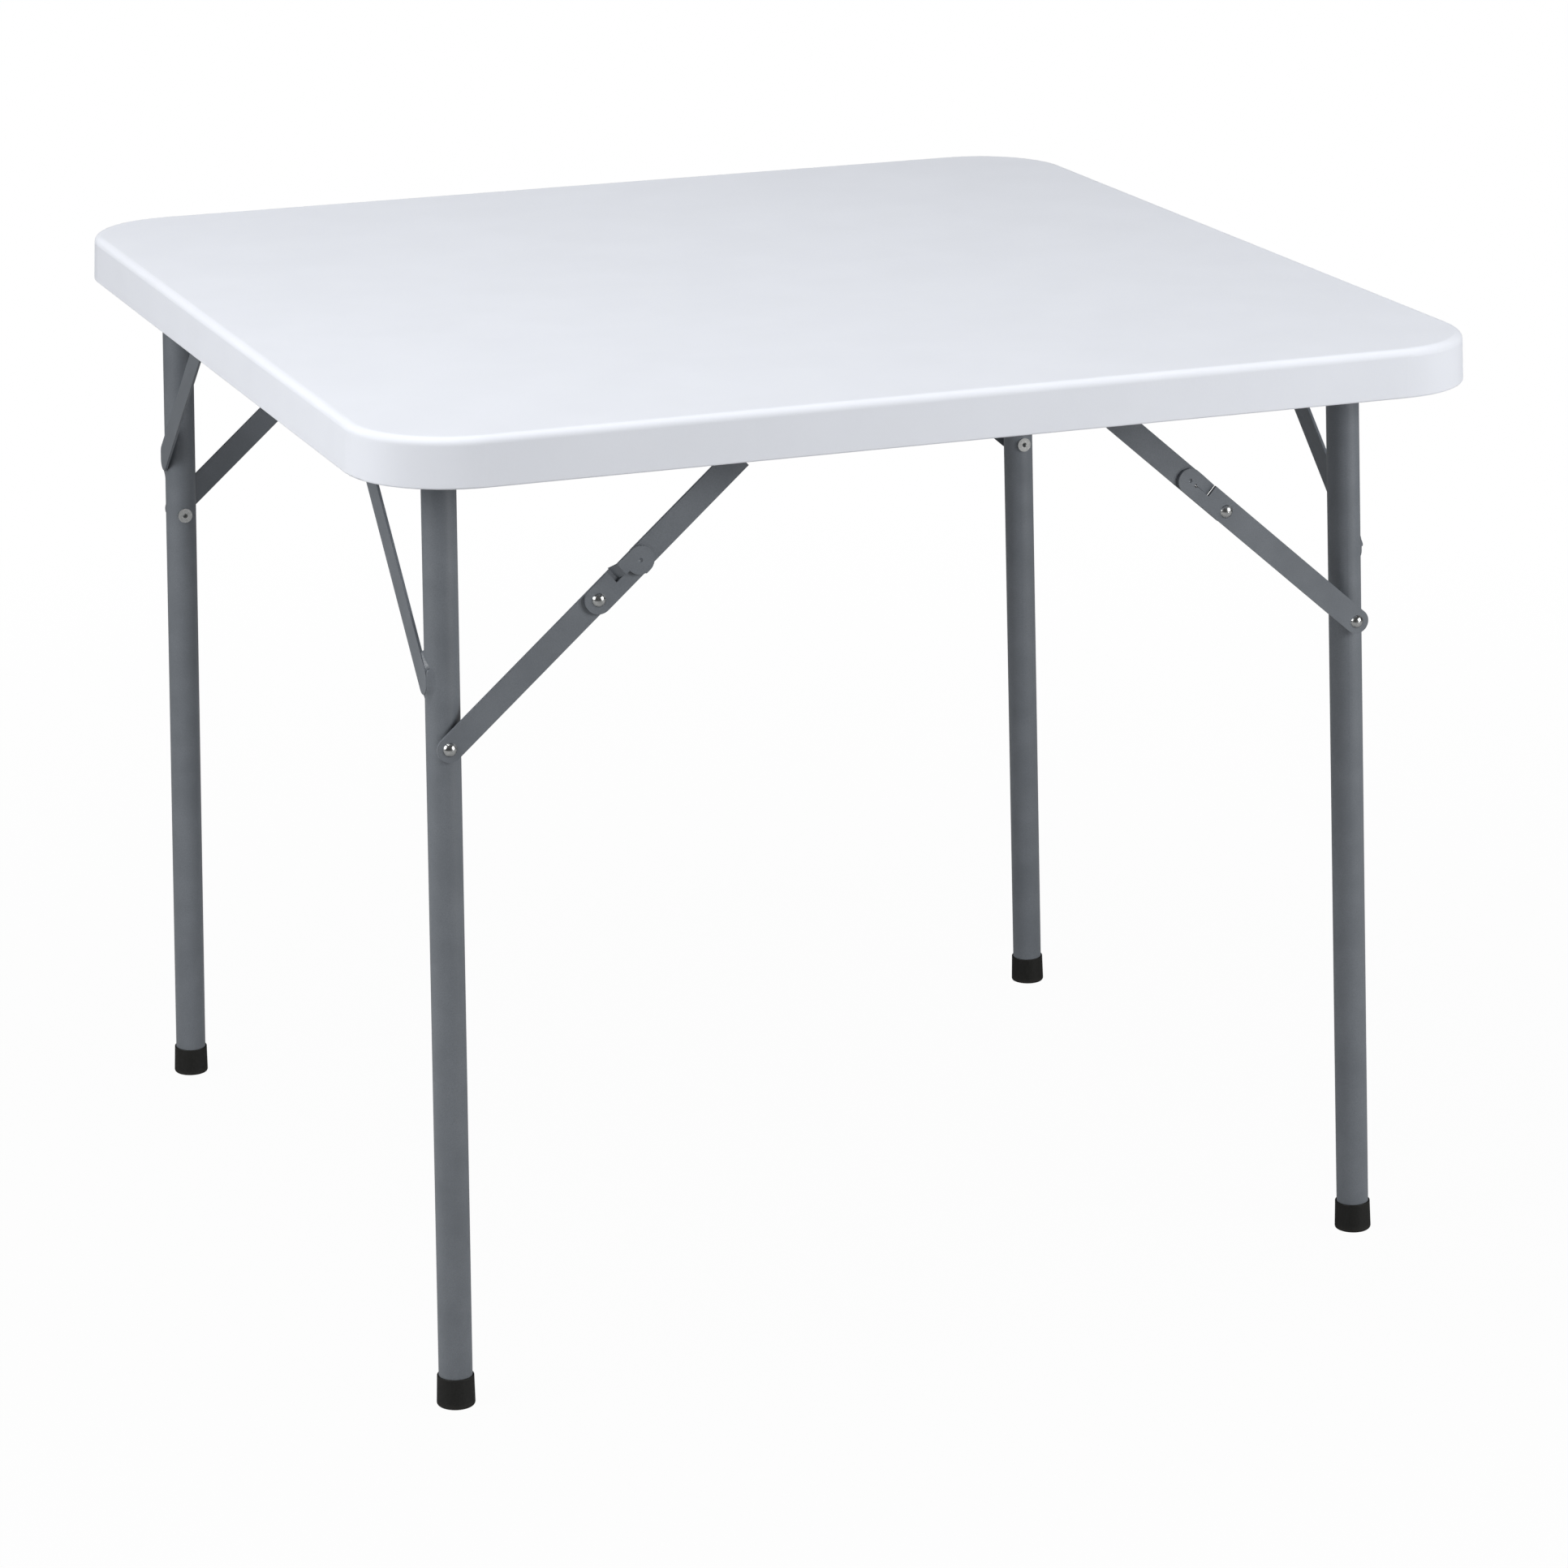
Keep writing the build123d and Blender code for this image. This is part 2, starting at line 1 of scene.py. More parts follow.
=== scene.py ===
"""Looks for a square folding card table with a white moulded top and two grey tubular leg frames.

The solids come from the frame. This script gives them their finishes and adds what a maker would add last:
the welds of the leg frames and the cross-recessed heads of the bracket screws. Lengths are metres.
"""

import json
import math

import bpy
import numpy as np
from mathutils import Matrix, Vector


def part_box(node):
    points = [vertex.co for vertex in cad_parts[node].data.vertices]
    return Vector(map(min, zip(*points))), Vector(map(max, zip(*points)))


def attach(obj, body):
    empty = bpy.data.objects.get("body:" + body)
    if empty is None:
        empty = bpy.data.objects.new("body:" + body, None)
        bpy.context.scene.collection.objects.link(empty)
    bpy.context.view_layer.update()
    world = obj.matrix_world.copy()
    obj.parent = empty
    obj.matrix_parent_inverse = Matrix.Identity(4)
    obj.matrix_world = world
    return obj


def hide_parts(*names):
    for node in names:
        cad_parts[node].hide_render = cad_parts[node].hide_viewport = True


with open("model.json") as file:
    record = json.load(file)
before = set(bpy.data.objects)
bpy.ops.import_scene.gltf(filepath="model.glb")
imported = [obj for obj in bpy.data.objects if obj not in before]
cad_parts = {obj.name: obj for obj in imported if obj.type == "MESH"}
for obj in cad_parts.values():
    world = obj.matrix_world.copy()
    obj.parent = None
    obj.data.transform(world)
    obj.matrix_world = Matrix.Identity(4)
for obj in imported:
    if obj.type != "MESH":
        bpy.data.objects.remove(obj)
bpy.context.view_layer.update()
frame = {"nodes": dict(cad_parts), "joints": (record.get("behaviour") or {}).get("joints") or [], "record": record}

MM = 0.001
NODES = frame["nodes"]
RECORD = frame["record"]
SIDES = ("left", "right")
ROWS = ("front", "rear")

# Camera, found from the table's own corners, legs and feet in the photograph
CAMERA_PLACE = (-1.37907, -3.63767, 1.53324)
CAMERA_YAW = math.radians(21.1746)
CAMERA_PITCH = math.radians(17.286)
CAMERA_ROLL = math.radians(-0.3488)
CAMERA_LENS = 115.978
CAMERA_SENSOR = 36.0

# Studio
FLOOR_HALF = 15.0
FLOOR_COLOUR = "#B2B2B2"
FLOOR_GLOW_NEAR = 0.97
FLOOR_FADE_START = 0.7
FLOOR_FADE_END = 2.2
WORLD_LEVEL = 0.088
LAMPS = (
    # name, place, aimed at, size, power in watts
    ("soft_left", (-2.9, -0.7, 1.9), (-0.2, -0.2, 0.55), 1.8, 65.0),
    ("soft_right", (2.35, -2.7, 1.6), (0.3, -0.2, 0.5), 1.8, 82.0),
    ("soft_overhead", (-0.55, -0.1, 3.8), (0.0, 0.15, 0.7), 2.6, 66.0),
)

# Finishes as sRGB, and the height to which the foot caps are scuffed
TOP_PALE, TOP_DEEP = "#EBEEF5", "#E9ECF3"
COAT_PALE, COAT_DEEP = "#767B81", "#6B7076"
ZINC_PALE, ZINC_DEEP = "#D2D3D2", "#B4B6B6"
CAP_PALE, CAP_DEEP = "#1F1F1D", "#141412"
CAP_SCUFF = "#34332F"
NYLON_PALE, NYLON_DEEP = "#ECE8DD", "#DED9CB"
SCUFF_TOP = 5.0 * MM

# Cross tubes run on past the legs by this much
TUBE_END_MARGIN = 0.5 * MM

# Diagonal straps, as the solids have them
STRAP_HALF = 10.0 * MM
STRAP_RUN = 165.0 * MM
STRAP_END_RADIUS = 8.0 * MM
STRAP_LAP = {"left": 7.5 * MM, "right": 1.0 * MM}

# Ripples of every weld
RIPPLE_PITCH = 2.2 * MM
BEAD_RIPPLE_SHARE = 0.06
FILLET_RIPPLE_SHARE = 0.05

# Round bead between each leg and its cross tube
BEAD_RADIUS = 1.2 * MM
BEAD_AROUND = 12
BEAD_TIP_SHARE = 0.02
SADDLE_STEPS = 240
SADDLE_SOFTNESS = 0.15

# Fillets along the straps, and how far the seam at a strap's tip runs before and after its corner
SEAM_STEPS = 80
EDGE_SEAM_HALF = 8.0 * MM
TIP_BEFORE = 7.0 * MM
TIP_AFTER = 21.0 * MM
TIP_RUN_OUT = 9.0 * MM
FILLET_REACH = 2.6 * MM
FILLET_RISE = 1.5 * MM
FILLET_TAPER = 4.0 * MM
FILLET_TIP_SHARE = 0.03
FILLET_SINK = 0.15 * MM
FILLET_ROOT = 0.3 * MM
FILLET_STEPS = 9
FILLET_BACK = -0.6

# Bracket screws
BRACKET_GAUGE = 2.5 * MM
SCREW_SHARES = (0.08, 0.36, 0.64, 0.92)
SCREW_RINGS = 26
SCREW_AROUND = 64
SCREW_HEAD_RADIUS = 4.2 * MM
SCREW_HEAD_HEIGHT = 2.2 * MM
SCREW_SHANK_RADIUS = 2.0 * MM
CROWN_FIRST_SHARE = 0.02
CROWN_SPACING = 0.8
CROSS_REACH = 2.5 * MM
CROSS_HALF = 0.42 * MM
CROSS_DEPTH = 1.3 * MM
CROSS_SOFT_SHARE = 0.25
CROSS_STEEPNESS = 1.25


def linear(code):
    """Turn an sRGB hex colour to the linear one that shaders take."""
    channels = [int(code[i : i + 2], 16) / 255 for i in (1, 3, 5)]
    return [c / 12.92 if c <= 0.04045 else ((c + 0.055) / 1.055) ** 2.4 for c in channels] + [1.0]


def empty_tree(block):
    """The emptied node tree of a material or a world."""
    block.use_nodes = True
    block.node_tree.nodes.clear()
    return block.node_tree


def feed(tree, node, **inputs):
    """Link or set a node's inputs by name. An underscore in a name is a space."""
    for name, value in inputs.items():
        socket = node.inputs[name.replace("_", " ")]
        if isinstance(value, bpy.types.NodeSocket):
            tree.links.new(value, socket)
        else:
            socket.default_value = value


def add_node(tree, kind, **inputs):
    """Add a node and link or set its inputs."""
    node = tree.nodes.new(kind)
    feed(tree, node, **inputs)
    return node


def combined(tree, operation, first, second):
    """Two levels put together by a math node."""
    node = tree.nodes.new("ShaderNodeMath")
    node.operation = operation
    tree.links.new(first, node.inputs[0])
    tree.links.new(second, node.inputs[1])
    return node.outputs["Value"]


def carried(tree, level, start, end, at_start, at_end):
    """A level carried to another range, which runs from one number to another between two marks."""
    marks = {"From_Min": start, "From_Max": end, "To_Min": at_start, "To_Max": at_end}
    return add_node(tree, "ShaderNodeMapRange", Value=level, **marks).outputs["Result"]


def new_material(name):
    """An empty node material with its coordinates, its shader and its output."""
    material = bpy.data.materials.new(name)
    tree = empty_tree(material)
    place = add_node(tree, "ShaderNodeTexCoord").outputs["Object"]
    shader = add_node(tree, "ShaderNodeBsdfPrincipled")
    add_node(tree, "ShaderNodeOutputMaterial", Surface=shader.outputs["BSDF"])
    return material, tree, place, shader


def grain(tree, place, size_mm, detail=2.0):
    """Noise whose lumps are about the given size across."""
    lumps = 1 / (size_mm * MM)
    noise = add_node(tree, "ShaderNodeTexNoise", Vector=place, Scale=lumps, Detail=detail, Roughness=0.5)
    return noise.outputs["Fac"]


def between(tree, factor, low, high, start=0.3, end=0.7):
    """A colour or level that runs between two as the factor runs between two marks."""
    ramp = add_node(tree, "ShaderNodeValToRGB", Fac=factor)
    stops = ramp.color_ramp.elements
    for stop, mark, value in ((stops[0], start, low), (stops[1], end, high)):
        stop.position = mark
        stop.color = linear(value) if isinstance(value, str) else (value, value, value, 1.0)
    return ramp.outputs["Color"]


def relief(tree, height, depth_mm, under=None):
    """Bump of the given depth, over another bump where there is one."""
    bump = add_node(tree, "ShaderNodeBump", Strength=1.0, Distance=depth_mm * MM, Height=height)
    if under is not None:
        tree.links.new(under, bump.inputs["Normal"])
    return bump.outputs["Normal"]


def moulded_polyethylene():
    """Blow-moulded high-density polyethylene: waxy white, with a shallow pebble grain from the mould.

    The real pebbles are about 1 mm across. They are drawn 2.5 mm across, so that they still show from here.
    The skin sinks a little where it cools last, which gives the broad, faint waves.
    """
    material, tree, place, shader = new_material("moulded_polyethylene")
    pebbles = grain(tree, place, size_mm=2.5, detail=1.0)
    waves = grain(tree, place, size_mm=120.0, detail=0.0)
    cloud = grain(tree, place, size_mm=60.0)
    feed(
        tree,
        shader,
        Base_Color=between(tree, cloud, TOP_DEEP, TOP_PALE),
        Roughness=between(tree, pebbles, 0.50, 0.62),
        Normal=relief(tree, pebbles, depth_mm=0.035, under=relief(tree, waves, depth_mm=0.25)),
        IOR=1.54,
        Specular_IOR_Level=0.2,
        Subsurface_Weight=0.06,
        Subsurface_Scale=0.004,
        Subsurface_Radius=(1.0, 1.0, 0.9),
    )
    return material


def powder_coat():
    """Grey polyester powder coat on steel: satin, with an orange-peel skin and a fine darker fleck.

    Orange peel runs 1.5 to 3 mm from lump to lump.
    """
    material, tree, place, shader = new_material("grey_powder_coat")
    peel = grain(tree, place, size_mm=2.4, detail=1.0)
    fleck = grain(tree, place, size_mm=0.8)
    drift = grain(tree, place, size_mm=30.0, detail=3.0)
    shade = combined(tree, "MULTIPLY", fleck, drift)
    feed(
        tree,
        shader,
        Base_Color=between(tree, shade, COAT_DEEP, COAT_PALE, start=0.12, end=0.38),
        Roughness=between(tree, drift, 0.34, 0.44),
        Normal=relief(tree, peel, depth_mm=0.03),
        IOR=1.52,
    )
    return material


def bright_zinc():
    """Zinc plate on cold-headed steel: bright, with fine tumbling marks and cloudy patches."""
    material, tree, place, shader = new_material("bright_zinc_plate")
    cloud = grain(tree, place, size_mm=2.5, detail=3.0)
    marks = grain(tree, place, size_mm=0.5)
    feed(
        tree,
        shader,
        Base_Color=between(tree, cloud, ZINC_DEEP, ZINC_PALE),
        Metallic=1.0,
        Roughness=between(tree, cloud, 0.16, 0.30),
        Normal=relief(tree, marks, depth_mm=0.008),
    )
    return material


def soft_vinyl():
    """Black plasticised vinyl, dip-moulded: matt, finely grained and scuffed pale next to the floor."""
    material, tree, place, shader = new_material("black_soft_vinyl")
    skin = grain(tree, place, size_mm=1.2, detail=3.0)
    patches = grain(tree, place, size_mm=2.0, detail=4.0)
    height = add_node(tree, "ShaderNodeSeparateXYZ", Vector=place).outputs["Z"]
    near_floor = carried(tree, height, 0.0, SCUFF_TOP, 1.0, 0.0)
    worn = combined(tree, "MULTIPLY", near_floor, patches)
    clean = between(tree, skin, CAP_DEEP, CAP_PALE)
    mix = add_node(tree, "ShaderNodeMixRGB", Fac=worn, Color1=clean, Color2=linear(CAP_SCUFF))
    feed(
        tree,
        shader,
        Base_Color=mix.outputs["Color"],
        Roughness=between(tree, skin, 0.52, 0.68),
        Normal=relief(tree, skin, depth_mm=0.03),
        IOR=1.52,
        Specular_IOR_Level=0.3,
    )
    return material


def natural_nylon():
    """Uncoloured nylon, injection moulded: milky cream, smooth and a little glossy."""
    material, tree, place, shader = new_material("natural_nylon")
    cloud = grain(tree, place, size_mm=4.0)
    skin = grain(tree, place, size_mm=1.0)
    feed(
        tree,
        shader,
        Base_Color=between(tree, cloud, NYLON_DEEP, NYLON_PALE),
        Roughness=between(tree, cloud, 0.30, 0.42),
        Normal=relief(tree, skin, depth_mm=0.01),
        IOR=1.53,
    )
    return material


FINISHES = {
    "top_plastic": moulded_polyethylene(),
    "frame_steel": powder_coat(),
    "bright_steel": bright_zinc(),
    "foot_plastic": soft_vinyl(),
    "bush_plastic": natural_nylon(),
}


def finish_with(piece, slot):
    """Give a piece the finish of one of the record's material slots."""
    piece.data.materials.clear()
    piece.data.materials.append(FINISHES[slot])


def named(entries, name):
    """The one of the record's joints or mounts that has this name."""
    return next(entry for entry in entries if entry["name"] == name)


def along(points):
    """The distance of each point from the first, along the path through them."""
    return np.concatenate([[0.0], np.cumsum(np.linalg.norm(np.diff(points, axis=0), axis=1))])


def tangents(points):
    """The direction of a path at each of its points, at length one."""
    tangent = np.gradient(points, axis=0)
    return tangent / np.linalg.norm(tangent, axis=1)[:, None]


def ripple(s, share):
    """The swelling of a weld at the distance s: 1 + share * sin(2 pi s / pitch)."""
    return 1 + share * np.sin(2 * math.pi * s / RIPPLE_PITCH)


def rounded_ends(s, taper, tip_share):
    """A quarter circle that rises from a small tip to 1 over the taper's length at either end."""
    from_end = np.clip(np.minimum(s, s[-1] - s) / taper, tip_share, 1.0)
    return np.sqrt(1 - (1 - from_end) ** 2)


def facing_outwards(grid):
    """The grid with its rings turned the way round in which its faces point outwards.

    The volume of a closed grid is a third of the sum over its quads of their middle times their area vector,
    which is half the cross product of their diagonals. Measured from the grid's own middle, it comes out
    negative where the faces point inwards.
    """
    here = grid - grid.reshape(-1, 3).mean(0)
    beside = np.roll(here, -1, axis=1)
    middle = (here[:-1] + beside[:-1] + beside[1:] + here[1:]) / 4
    area = np.cross(beside[1:] - here[:-1], here[1:] - beside[:-1]) / 2
    return grid if np.sum(middle * area) > 0 else grid[:, ::-1]


def join_grids(grids, name):
    """One mesh object from several closed grids of points.

    Each grid is an array of rings by points by 3. Neighbouring points of neighbouring rings make quads, each
    ring closes on itself, and both end rings are closed by a fan to their middle.
    """
    points, faces, start = [], [], 0
    for grid in map(facing_outwards, grids):
        rings, around = grid.shape[:2]
        ends = np.array([grid[0].mean(0), grid[-1].mean(0)])
        points.append(np.vstack([grid.reshape(-1, 3), ends]))
        ring, step = np.meshgrid(np.arange(rings - 1), np.arange(around), indexing="ij")
        here = ring * around + step
        beside = ring * around + (step + 1) % around
        quads = np.stack([here, beside, beside + around, here + around], -1).reshape(-1, 4) + start
        faces += quads.tolist()
        turn = np.arange(around)
        following = (turn + 1) % around
        first = np.full(around, rings * around)
        last_ring = (rings - 1) * around
        faces += (np.stack([following, turn, first], -1) + start).tolist()
        faces += (np.stack([turn + last_ring, following + last_ring, first + 1], -1) + start).tolist()
        start += rings * around + 2
    mesh = bpy.data.meshes.new(name)
    mesh.from_pydata(np.vstack(points), [], faces)
    mesh.update()
    mesh.shade_smooth()
    piece = bpy.data.objects.new(name, mesh)
    bpy.context.scene.collection.objects.link(piece)
    return piece


class LegFrame:
    """Where one leg frame's tubes and straps lie, worked out from the frame's joints, mounts and boxes.

    Points are given in the frame's own plane: u outwards from its middle, v upwards from the fold axis, and
    the depth w outwards from the plane through the tubes' axes.
    """

    def __init__(self, side):
        self.side = side
        self.hand = -1.0 if side == "left" else 1.0
        self.pivot = np.array(named(frame["joints"], f"{side}_frame_fold")["pos_m"])
        foot = np.array(named(RECORD["mounts"], f"{side}_front_foot_rest")["pos_m"])
        low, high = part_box(f"{side}_cross_tube")
        self.radius = (high.z - low.z) / 2
        self.half_width = high.y - self.radius - TUBE_END_MARGIN
        self.lean = math.atan2(abs(foot[0] - self.pivot[0]), self.pivot[2])
        reach = self.pivot[2] / math.cos(self.lean)
        self.splay = math.atan2(abs(foot[1]) - self.half_width, reach)

    def place(self, u, v, w, row):
        """Points of the open frame, from the frame's own plane."""
        across = self.hand * (w * math.cos(self.lean) - v * math.sin(self.lean))
        rise = w * math.sin(self.lean) + v * math.cos(self.lean)
        return np.stack([self.pivot[0] + across, row * u, self.pivot[2] + rise], -1)


def crossing(point, direction, other_point, other_direction):
    """Where two lines in a plane cross."""
    sides = np.stack([direction, -other_direction], -1)
    return point + np.linalg.solve(sides, other_point - point)[0] * direction


def round_the_corner(corner, arriving, leaving, radius, before, after):
    """Points round a filleted corner, evenly spaced by arc length before and after the fillet's middle.

    The fillet turns the arriving direction by the angle t, so its arc is radius * t long and starts
    radius * tan(t / 2) before the corner. Beyond the arc the points run on straight.
    """
    turn = math.acos(np.clip(arriving @ leaving, -1, 1))
    hand = np.sign(arriving[0] * leaving[1] - arriving[1] * leaving[0])
    inward = hand * np.array([-arriving[1], arriving[0]])
    start = corner - radius * math.tan(turn / 2) * arriving
    centre = start + radius * inward
    s = np.linspace(-before, after, SEAM_STEPS)
    angle = np.clip(s / radius + turn / 2, 0, turn)[:, None]
    arc = centre + radius * (np.sin(angle) * arriving - np.cos(angle) * inward)
    lead_in = np.minimum(s + radius * turn / 2, 0)[:, None]
    lead_out = np.maximum(s - radius * turn / 2, 0)[:, None]
    return arc + lead_in * arriving + lead_out * leaving


def lap_fillet(leg_frame, plan, on_axis, axis, middle, row, run_out=0.0):
    """A smooth weld fillet along the plan of a strap's outline, from the strap's edge to the round tube.

    At the share q from 0 to 1 across the seam a point lies reach * q outside the outline, and round the
    strap's tip also run_out * q further along the tube. It is tube + (r + rise - edge) * (1 - q) ** 2 deep.
    The tube lies sqrt(r * r - a * a) deep at the distance a from its axis, and edge is that depth at q = 0.
    The fillet's foot sinks a little into the tube, and the ring then closes inside the tube's wall and under
    the strap. Reach and rise swell from almost nothing at both ends.
    """
    r = leg_frame.radius
    s = along(plan)
    tangent = tangents(plan)
    outward = np.stack([-tangent[:, 1], tangent[:, 0]], -1)
    outward *= np.sign(np.sum(outward * (plan - middle)))
    swell = rounded_ends(s, FILLET_TAPER, FILLET_TIP_SHARE)
    reach = FILLET_REACH * swell * ripple(s, FILLET_RIPPLE_SHARE)
    run = run_out * np.exp(-(((s - TIP_BEFORE) / FILLET_TAPER) ** 2))
    way = reach[:, None] * outward + run[:, None] * axis

    def depth_of_tube(q):
        aside = (plan + q * way - on_axis) @ np.array([-axis[1], axis[0]])
        return np.sqrt(np.maximum(r**2 - aside**2, 0))

    rise = FILLET_RISE * swell
    edge = depth_of_tube(0.0)
    rings = []
    for q in np.linspace(0, 1, FILLET_STEPS):
        rings.append((q, depth_of_tube(q) + (r + rise - edge) * (1 - q) ** 2 - FILLET_SINK * q))
    for q in (1.0, 0.5, 0.0, FILLET_BACK):
        rings.append((q, depth_of_tube(q) - FILLET_ROOT))
    rings.append((FILLET_BACK, np.full_like(s, r + FILLET_SINK)))
    return np.stack([leg_frame.place(*(plan + q * way).T, depth, row) for q, depth in rings], 1)


def strap_fillets(leg_frame, row):
    """The fillets of one diagonal strap: at either end one round its tip and one on its other edge."""
    splay, half = leg_frame.splay, leg_frame.half_width
    down = np.array([math.sin(splay), -math.cos(splay)])
    inwards = np.array([-1.0, 0.0])
    hub = np.array([half, 0.0])
    low = hub + np.array([STRAP_RUN * math.tan(splay), -STRAP_RUN])
    high = hub + np.array([-STRAP_RUN, 0.0])
    up_strap = (high - low) / np.linalg.norm(high - low)
    centre = (low + high) / 2
    # From the strap's middle line to its edge that faces the corner where leg and cross tube meet
    near = STRAP_HALF * np.array([-up_strap[1], up_strap[0]])
    near *= np.sign(near @ (hub - low))
    lap = STRAP_LAP[leg_frame.side]
    grids = []
    for axis, way in ((down, -up_strap), (inwards, up_strap)):
        outwards = np.array([-axis[1], axis[0]])
        outwards *= -np.sign(outwards @ (low + high - 2 * hub))
        corner = crossing(low - near, up_strap, hub + lap * outwards, axis)
        tip = round_the_corner(corner, way, -axis, STRAP_END_RADIUS, TIP_BEFORE, TIP_AFTER)
        grids.append(lap_fillet(leg_frame, tip, hub, axis, centre, row, TIP_RUN_OUT))
        middle = crossing(low + near, up_strap, hub, axis)
        run = np.linspace(-EDGE_SEAM_HALF, EDGE_SEAM_HALF, SEAM_STEPS)[:, None]
        grids.append(lap_fillet(leg_frame, middle + run * up_strap, hub, axis, centre, row))
    return grids


def saddle_bead(leg_frame, row):
    """The rippled round bead at the top of a leg, where it saddles the cross tube.

    With both tubes of radius r, the seam is w = r cos a, u = r sin a, v = -r |sin a|. The root of sin a
    squared plus a little takes the place of |sin a|, so that the bead turns gently at the two tips. Each
    ring is a circle square to the seam.
    """
    r = leg_frame.radius
    a = np.linspace(0, 2 * math.pi, SADDLE_STEPS)
    fall = r * np.sqrt((np.sin(a) ** 2 + SADDLE_SOFTNESS**2) / (1 + SADDLE_SOFTNESS**2))
    u = leg_frame.half_width + r * np.sin(a) + fall * math.tan(leg_frame.splay)
    path = leg_frame.place(u, -fall, r * np.cos(a), row)
    s = along(path)
    swell = BEAD_RADIUS * rounded_ends(s, BEAD_RADIUS, BEAD_TIP_SHARE) * ripple(s, BEAD_RIPPLE_SHARE)
    tangent = tangents(path)
    side = np.cross(tangent, [1.0, 0.0, 0.0])
    side /= np.linalg.norm(side, axis=1)[:, None]
    up = np.cross(side, tangent)
    angle = np.linspace(0, 2 * math.pi, BEAD_AROUND, endpoint=False)[None, :, None]
    spin = np.cos(angle) * side[:, None] + np.sin(angle) * up[:, None]
    return path[:, None] + swell[:, None, None] * spin


def weld_beads(side):
    """All the welds of one leg frame, as one piece that rides on it."""
    leg_frame = LegFrame(side)
    grids = []
    for row in (-1.0, 1.0):
        grids += strap_fillets(leg_frame, row)
        grids.append(saddle_bead(leg_frame, row))
    piece = join_grids(grids, f"{side}_weld_beads")
    finish_with(piece, "frame_steel")
    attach(piece, f"{side}_frame")


def pan_head(x, y, seat, tip):
    """A pan-head screw with a cross recess, as one closed grid that runs from the head's middle to the tip.

    The head's ring of radius q stands h * (1 - (q / r) ** 4) ** 0.5 out from the seat. Where a point is
    nearer to the middle line of an arm of the cross than its half width, with a soft edge, the recess takes
    c * k * (1 - q / reach) off that, but never more than c. The last two rings are the shank's ends.
    """
    a = np.linspace(0, 2 * math.pi, SCREW_AROUND, endpoint=False)
    q = SCREW_HEAD_RADIUS * np.linspace(CROWN_FIRST_SHARE, 1.0, SCREW_RINGS) ** CROWN_SPACING
    px, py = q[:, None] * np.cos(a), q[:, None] * np.sin(a)
    crown = SCREW_HEAD_HEIGHT * np.sqrt(np.clip(1 - (q / SCREW_HEAD_RADIUS) ** 4, 0, 1))[:, None]
    arm = np.minimum(np.abs(px), np.abs(py))
    inside = np.clip((CROSS_HALF - arm) / (CROSS_SOFT_SHARE * CROSS_HALF) + 0.5, 0, 1)
    reach = np.clip(CROSS_STEEPNESS * (1 - q / CROSS_REACH), 0, 1)[:, None]
    rings = [np.stack([px, py, CROSS_DEPTH * inside * reach - crown], -1)]
    for height in (0.0, tip - seat):
        sx, sy = SCREW_SHANK_RADIUS * np.cos(a), SCREW_SHANK_RADIUS * np.sin(a)
        rings.append(np.stack([sx, sy, np.full_like(a, height)], -1)[None])
    return np.concatenate(rings) + np.array([x, y, seat])


def bracket_screws():
    """The screws in every bracket's flange, in place of the plain ones."""
    low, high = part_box("bracket_screws")
    seat = low.z + SCREW_HEAD_HEIGHT
    grids = []
    for side in SIDES:
        for row in ROWS:
            start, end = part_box(f"{side}_{row}_bracket")
            # The web stands on the inner edge, so the middle of the flat flange lies further out
            outward = -1.0 if row == "front" else 1.0
            y = (start.y + end.y + outward * BRACKET_GAUGE) / 2
            for share in SCREW_SHARES:
                grids.append(pan_head(start.x + share * (end.x - start.x), y, seat, high.z))
    piece = join_grids(grids, "cross_recessed_screws")
    finish_with(piece, "bright_steel")
    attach(piece, "tabletop")
    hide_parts("bracket_screws")


def white_floor():
    """A pale floor that the camera sees almost white with a faint shadow, and wholly white further out."""
    mesh = bpy.data.meshes.new("floor")
    h = FLOOR_HALF
    mesh.from_pydata([(-h, -h, 0), (h, -h, 0), (h, h, 0), (-h, h, 0)], [], [(0, 1, 2, 3)])
    floor = bpy.data.objects.new("floor", mesh)
    bpy.context.scene.collection.objects.link(floor)
    material = bpy.data.materials.new("pale_floor")
    tree = empty_tree(material)
    place = add_node(tree, "ShaderNodeTexCoord").outputs["Object"]
    distance = tree.nodes.new("ShaderNodeVectorMath")
    distance.operation = "LENGTH"
    tree.links.new(place, distance.inputs[0])
    from_table = distance.outputs["Value"]
    fade = carried(tree, from_table, FLOOR_FADE_START, FLOOR_FADE_END, FLOOR_GLOW_NEAR, 1.0)
    rays = add_node(tree, "ShaderNodeLightPath").outputs
    seen = combined(tree, "MAXIMUM", rays["Is Camera Ray"], rays["Is Transmission Ray"])
    share = combined(tree, "MULTIPLY", seen, fade)
    matt = add_node(tree, "ShaderNodeBsdfDiffuse", Color=linear(FLOOR_COLOUR))
    glow = add_node(tree, "ShaderNodeEmission", Strength=1.0)
    mix = add_node(tree, "ShaderNodeMixShader", Fac=share)
    tree.links.new(matt.outputs["BSDF"], mix.inputs[1])
    tree.links.new(glow.outputs["Emission"], mix.inputs[2])
    add_node(tree, "ShaderNodeOutputMaterial", Surface=mix.outputs["Shader"])
    mesh.materials.append(material)


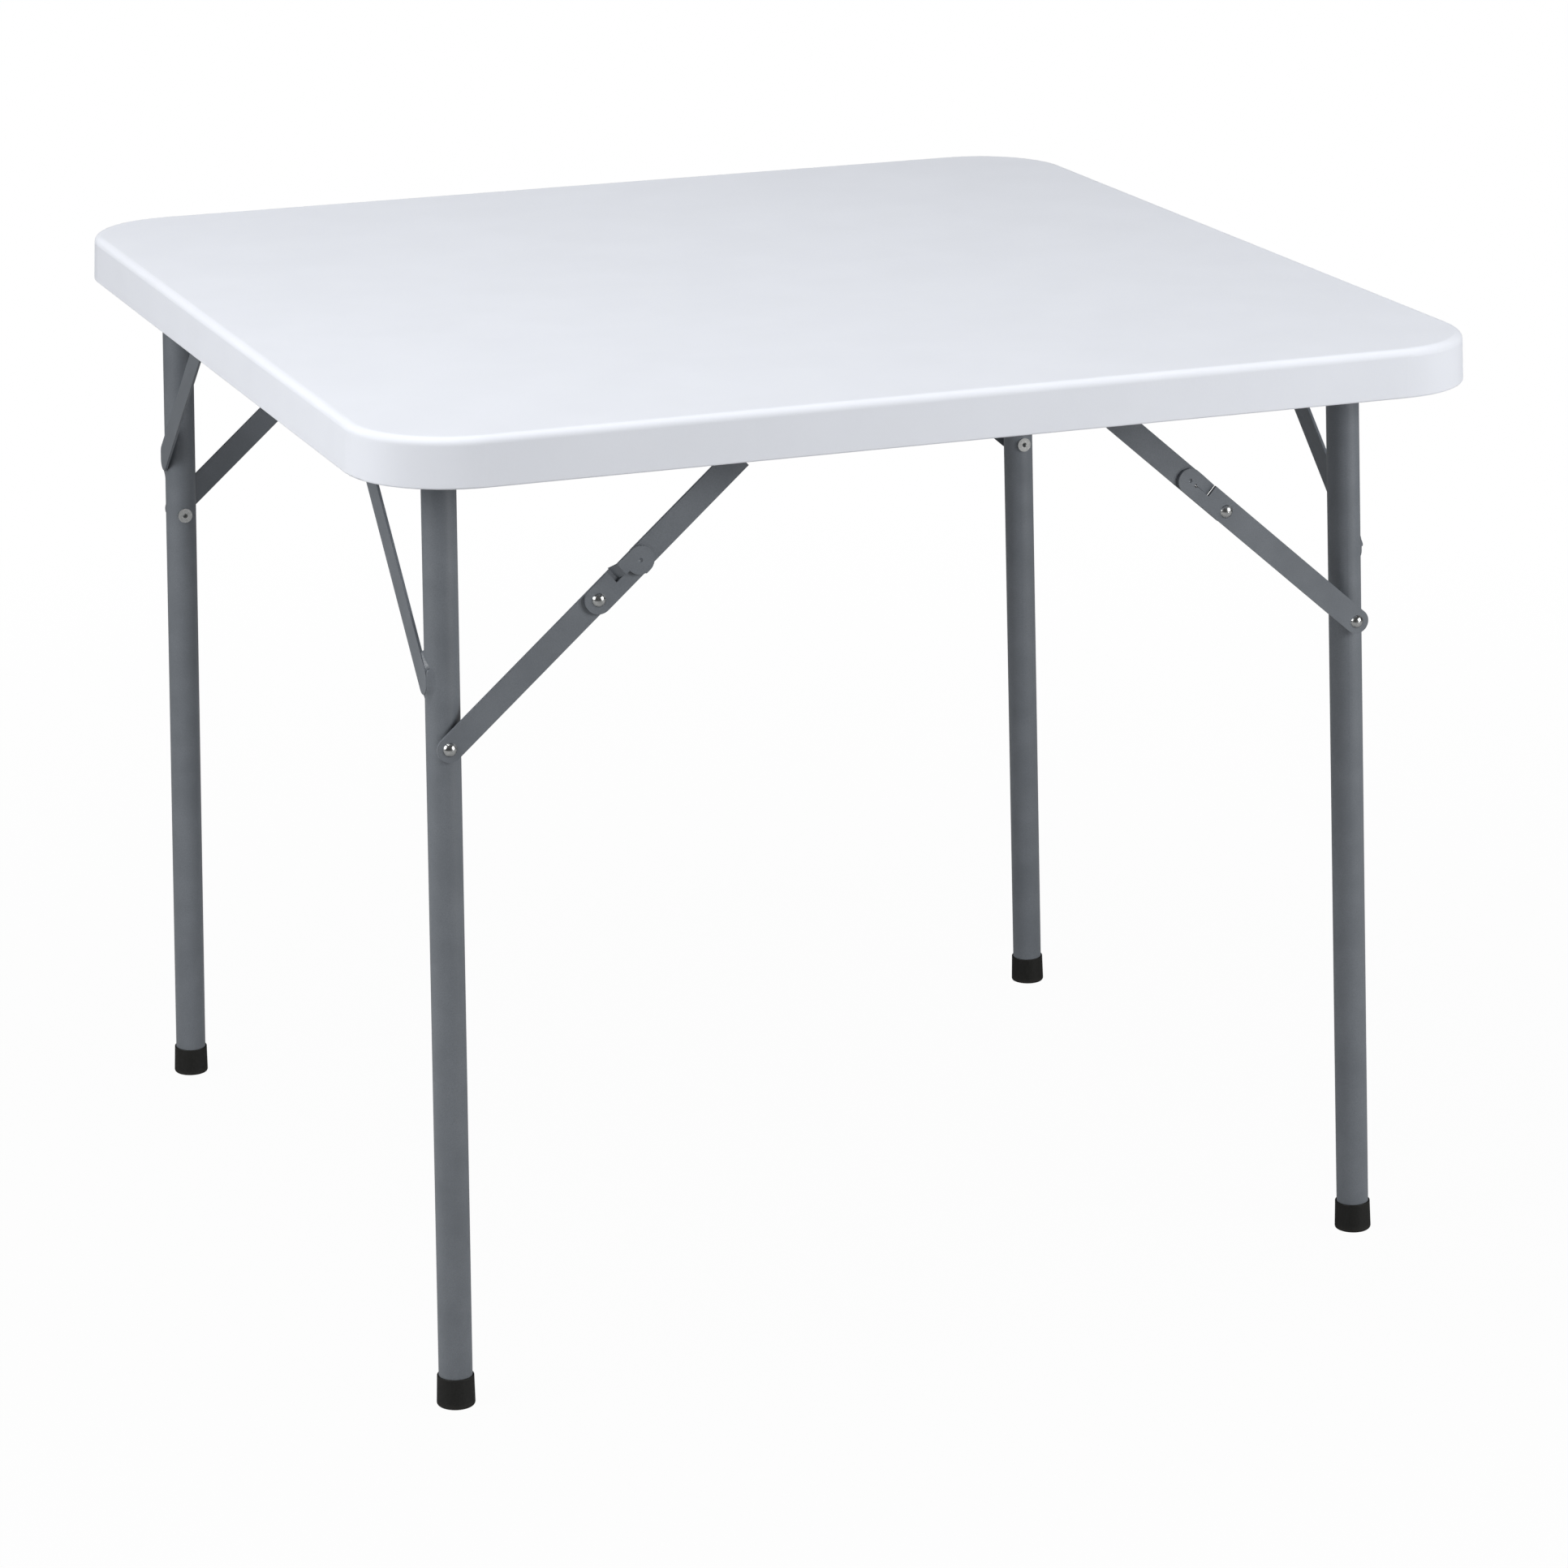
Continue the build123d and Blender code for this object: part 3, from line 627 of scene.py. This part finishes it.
def even_world():
    """A world that is white for the camera and lights the table faintly from all round."""
    world = bpy.data.worlds.new("studio")
    tree = empty_tree(world)
    seen = add_node(tree, "ShaderNodeLightPath").outputs["Is Camera Ray"]
    level = carried(tree, seen, 0.0, 1.0, WORLD_LEVEL, 1.0)
    sky = add_node(tree, "ShaderNodeBackground", Color=linear("#FFFFFF"), Strength=level)
    add_node(tree, "ShaderNodeOutputWorld", Surface=sky.outputs["Background"])
    bpy.context.scene.world = world


def soft_lamps():
    """Three large square lamps, each turned to the point that it is aimed at."""
    for name, place, target, size, power in LAMPS:
        lamp = bpy.data.lights.new(name, "AREA")
        lamp.size = size
        lamp.energy = power
        holder = bpy.data.objects.new(name, lamp)
        holder.location = place
        holder.rotation_euler = (Vector(target) - Vector(place)).to_track_quat("-Z", "Y").to_euler()
        bpy.context.scene.collection.objects.link(holder)


def camera():
    """The photograph's camera, from its yaw, its pitch down, its roll and its lens."""
    forward = Vector(
        (
            math.cos(CAMERA_PITCH) * math.sin(CAMERA_YAW),
            math.cos(CAMERA_PITCH) * math.cos(CAMERA_YAW),
            -math.sin(CAMERA_PITCH),
        )
    )
    level = Vector((math.cos(CAMERA_YAW), -math.sin(CAMERA_YAW), 0.0))
    upright = level.cross(forward)
    right = math.cos(CAMERA_ROLL) * level + math.sin(CAMERA_ROLL) * upright
    up = math.cos(CAMERA_ROLL) * upright - math.sin(CAMERA_ROLL) * level
    data = bpy.data.cameras.new("photo_camera")
    data.sensor_width = CAMERA_SENSOR
    data.lens = CAMERA_LENS
    holder = bpy.data.objects.new("photo_camera", data)
    turn = Matrix((right, up, -forward)).transposed().to_4x4()
    holder.matrix_world = Matrix.Translation(CAMERA_PLACE) @ turn
    bpy.context.scene.collection.objects.link(holder)
    bpy.context.scene.camera = holder


for part in RECORD["subparts"]:
    finish_with(NODES[part["node"]], part["material_slot"])
for side in SIDES:
    weld_beads(side)
bracket_screws()
white_floor()
even_world()
soft_lamps()
camera()
bpy.context.scene.view_settings.view_transform = "Standard"
